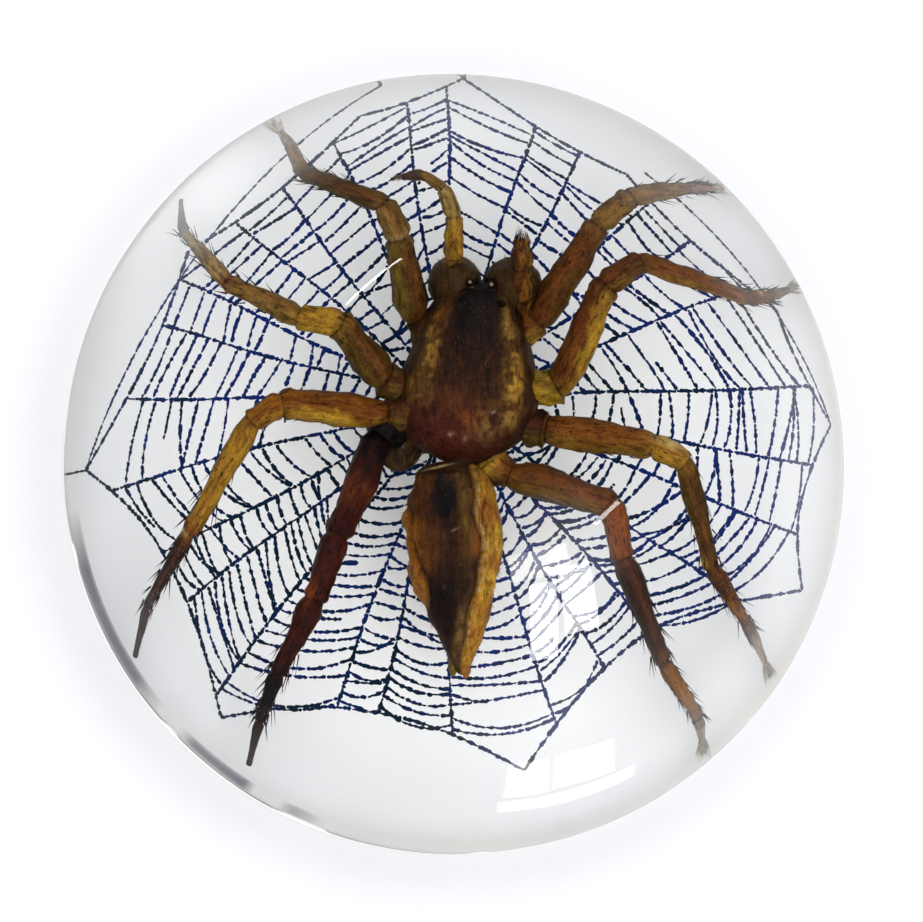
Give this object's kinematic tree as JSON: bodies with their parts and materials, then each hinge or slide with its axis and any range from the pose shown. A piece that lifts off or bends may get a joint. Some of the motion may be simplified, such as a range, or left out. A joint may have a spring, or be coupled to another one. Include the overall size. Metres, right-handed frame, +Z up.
{
  "type": "spider in clear resin dome",
  "caption": "Dried spider cast level in a clear resin dome, which stands flat on a white backing disc printed with a dark blue web",
  "frame": {"origin": "centre of the underside of the backing disc", "axes": "+Z up through the top of the dome, +Y towards the spider's head, +X to the spider's right as seen from above"},
  "size_m": [0.045, 0.045, 0.016],
  "materials": {
    "printed_backing": "satin",
    "clear_resin": "polished",
    "dried_spider": "satin"
  },
  "bodies": {
    "root": {"backing_disc": "printed_backing", "resin_lower": "clear_resin", "resin_upper": "clear_resin", "spider": "dried_spider"}
  },
  "joints": []
}
